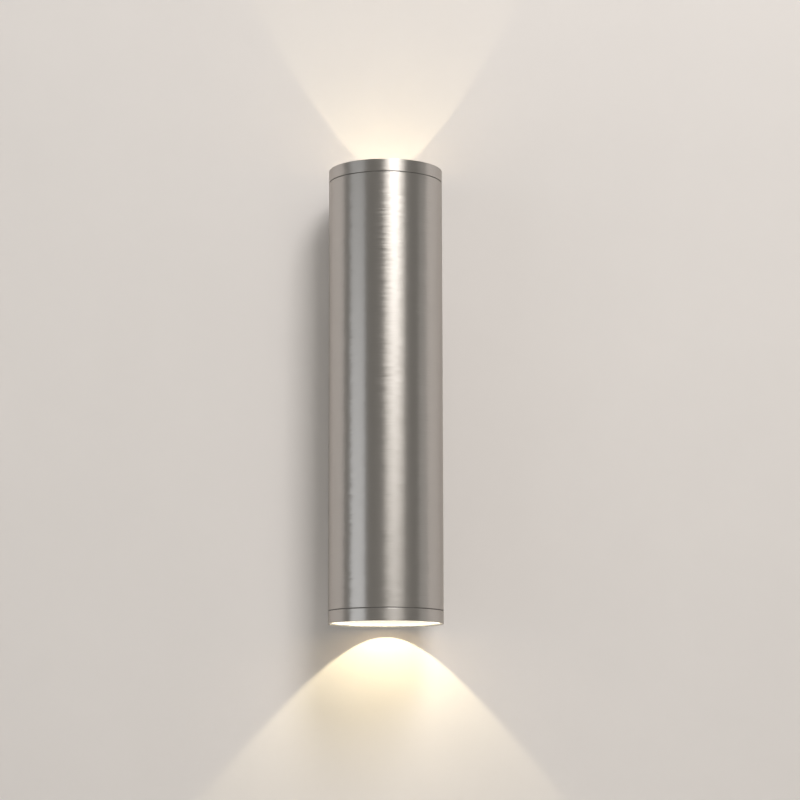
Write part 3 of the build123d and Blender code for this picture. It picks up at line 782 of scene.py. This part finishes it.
# What glows here is hidden from diffuse rays, because the beams further down light the surroundings
phosphor = litPhosphor()
for end, side in ends.items():
    lens = lensPiece(end + "_lens_moulding", side, end + "_lamp_lens")
    standsFor(lens, end + "_lamp_lens")
    lens.visible_diffuse = False
    leds = ledPiece(end + "_led_packages", side, end + "_lamp_light_board")
    leds.data.materials.append(phosphor)
    leds.visible_diffuse = False
    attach(leds, bodyOf[end + "_lamp_light_board"])
print("lamp fronts made")

# Pitches go by the screw's size in millimetres. Dome and recess are shares of the head's radius and height
screwShape = {
    "segments": 20, "rowsPerTurn": 4, "pitches": {3: 0.0005, 4: 0.0007}, "threadShare": 0.6,
    "underHead": 0.0003, "dome": ((1, 0.55), (0.94, 0.28), (0.79, 0.09), (0.55, 0)),
    "sinkShare": 1.1, "sinkRim": 0.0002, "sinkEdge": 0.98,
    "recessWidth": 0.95, "recessBlade": 0.2, "recessDepth": 0.6, "recessTaper": 0.55,
}


def shellsOf(node, merge=1e-6):
    # The points of each closed shell in a CAD node
    shape = bmesh.new()
    shape.from_mesh(node.data)
    shape.transform(node.matrix_world)
    bmesh.ops.remove_doubles(shape, verts=shape.verts, dist=merge)
    shells = []
    for first in shape.verts:
        if first.tag:
            continue
        first.tag = True
        waiting, shell = [first], []
        while waiting:
            vert = waiting.pop()
            shell.append(vert.co.copy())
            for edge in vert.link_edges:
                other = edge.other_vert(vert)
                if not other.tag:
                    other.tag = True
                    waiting.append(other)
        shells.append(shell)
    shape.free()
    return shells


def screwSizes(points, tipFrom=0.7, wider=1.05):
    # Reads a screw's axis, head side and sizes from its points. The two spans across its axis are alike,
    # the shank is measured beyond tipFrom of the length, and what is wider than the shank is head
    low = [min(point[axis] for point in points) for axis in range(3)]
    high = [max(point[axis] for point in points) for axis in range(3)]
    span = [high[axis] - low[axis] for axis in range(3)]
    along = min(range(3), key=lambda axis: abs(span[axis - 1] - span[axis - 2]))
    middle = Vector((low[axis] + high[axis]) / 2 for axis in range(3))
    reach = {}
    for point in points:
        away = point - middle
        away[along] = 0
        reach[tuple(point)] = away.length
    headRadius = max(reach.values())
    widest = max(reach, key=lambda point: (reach[point], point[along]))
    headSide = 1 if widest[along] > middle[along] else -1
    top = middle.copy()
    top[along] = high[along] if headSide > 0 else low[along]
    down = {point: headSide * (top[along] - point[along]) for point in reach}
    length = max(down.values())
    radius = max(reach[point] for point in reach if down[point] > tipFrom * length)
    height = max(down[point] for point in reach if reach[point] > wider * radius)
    direction = Vector((0, 0, 0))
    direction[along] = headSide
    place = Matrix.Translation(top) @ direction.to_track_quat("Z", "X").to_matrix().to_4x4()
    return {"length": length, "radius": radius, "headRadius": headRadius, "height": height, "place": place}


def recessCutter(across, thick, depth):
    # A blade that narrows towards its foot and goes depth below the origin
    shape = bmesh.new()
    for vert in bmesh.ops.create_cube(shape, size=1)["verts"]:
        taper = screwShape["recessTaper"] if vert.co.z < 0 else 1
        vert.co = Vector((vert.co.x * across * taper, vert.co.y * thick * taper, vert.co.z * 2 * depth))
    return inScene("blade", meshFrom("blade", shape))


def oneScrew(size):
    # A threaded screw below the origin with a cross recess: pan head, or sunk where the head is a cone
    s = screwShape
    radius, headRadius, length, height = size["radius"], size["headRadius"], size["length"], size["height"]
    pitch = s["pitches"][round(2000 * radius)]
    depth = s["threadShare"] * pitch
    pan = height > pitch / 2
    if not pan:
        height = s["sinkShare"] * (headRadius - radius)
    outline = [(0, -length), (radius - depth, -length)]
    outline += threadRows(radius, depth - length, -height - s["underHead"], pitch, s["rowsPerTurn"])
    outline.append((radius, -height))
    if pan:
        outline.append((headRadius, -height))
        outline += [(out * headRadius, -down * height) for out, down in s["dome"]]
    else:
        outline += [(headRadius, -s["sinkRim"]), (headRadius * s["sinkEdge"], 0)]
    outline.append((0, 0))
    high = -height - s["underHead"] / 2
    thread = dict(low=-length, high=high, radius=radius, pitch=pitch, depth=-depth)
    screw = turned("screw", outline, segments=s["segments"], thread=thread, centre=(0, 0))
    width, blade = s["recessWidth"] * headRadius, s["recessBlade"] * headRadius
    recess = s["recessDepth"] * height
    return cutOut(screw, [recessCutter(width, blade, recess), recessCutter(blade, width, recess)])


def screwPiece(name, nodeName):
    # All the screws of a CAD node, as copies of one
    sizes = [screwSizes(shell) for shell in shellsOf(cadNodes[nodeName])]
    pattern = oneScrew(sizes[0])
    together = bmesh.new()
    for size in sizes:
        first = len(together.verts)
        together.from_mesh(pattern.data)
        together.verts.ensure_lookup_table()
        bmesh.ops.transform(together, matrix=size["place"], verts=together.verts[first:])
    bpy.data.objects.remove(pattern)
    return finished(name, meshFrom(nodeName, together))


for nodeName in list(cadNodes):
    if "screw" in nodeName and "grub" not in nodeName and "clamp" not in nodeName:
        standsFor(screwPiece("threaded_" + nodeName, nodeName), nodeName)
print("screws cut")

# Depths are below the rim. The spill lights the tube and its caps alone, and the glow lights the wall too
beams = {
    "upper": {"depth": 0.0709, "sideways": 0, "energy": 0.32, "glow": 0.40, "spill": 2.8},
    "lower": {"depth": 0.0451, "sideways": 0.0012, "energy": 0.54, "glow": 0.52, "spill": 2.8},
}
beamShape = {"colour": (1.0, 0.86, 0.55), "angle": 110, "blend": 0.1, "radius": 0.002}
glowShape = {"depth": 0.0056, "colour": (1.0, 0.60, 0.25)}
spillShape = {"depth": 0.0061, "colour": (1.0, 0.97, 0.90)}
mouthWidth = 0.0712  # of the soft discs, just inside the bore


def faceOut(lamp, side, depth, sideways=0):
    lamp.location = (sideways, axisY, side * (rimTop - depth))
    lamp.rotation_euler = (math.pi if side > 0 else 0, 0, 0)


def discLight(name, side, radiance, depth, colour):
    disc = softBox(name, 0, 0, 0, (mouthWidth, mouthWidth), radiance, colour)
    disc.data.shape = "DISK"
    faceOut(disc, side, depth)
    return disc


def beamLight(name, side, depth, sideways, energy):
    light = bpy.data.lights.new(name, "SPOT")
    light.energy = energy
    light.color = beamShape["colour"]
    light.spot_size = math.radians(beamShape["angle"])
    light.spot_blend = beamShape["blend"]
    light.shadow_soft_size = beamShape["radius"]
    beam = inScene(name, light)
    faceOut(beam, side, depth, sideways)
    return beam


# Only the tube and its caps cut the beams into cones
shades = bpy.data.collections.new("beamShades")
for piece in (tube, bpy.data.objects["upper_cap"], bpy.data.objects["lower_cap"]):
    shades.objects.link(piece)

for end, side in ends.items():
    its = beams[end]
    beam = beamLight(end + "Beam", side, its["depth"], its["sideways"], its["energy"])
    beam.light_linking.blocker_collection = shades
    discLight(end + "Glow", side, its["glow"], **glowShape)
    spill = discLight(end + "Spill", side, its["spill"], **spillShape)
    spill.light_linking.receiver_collection = shades
print("beams lit")
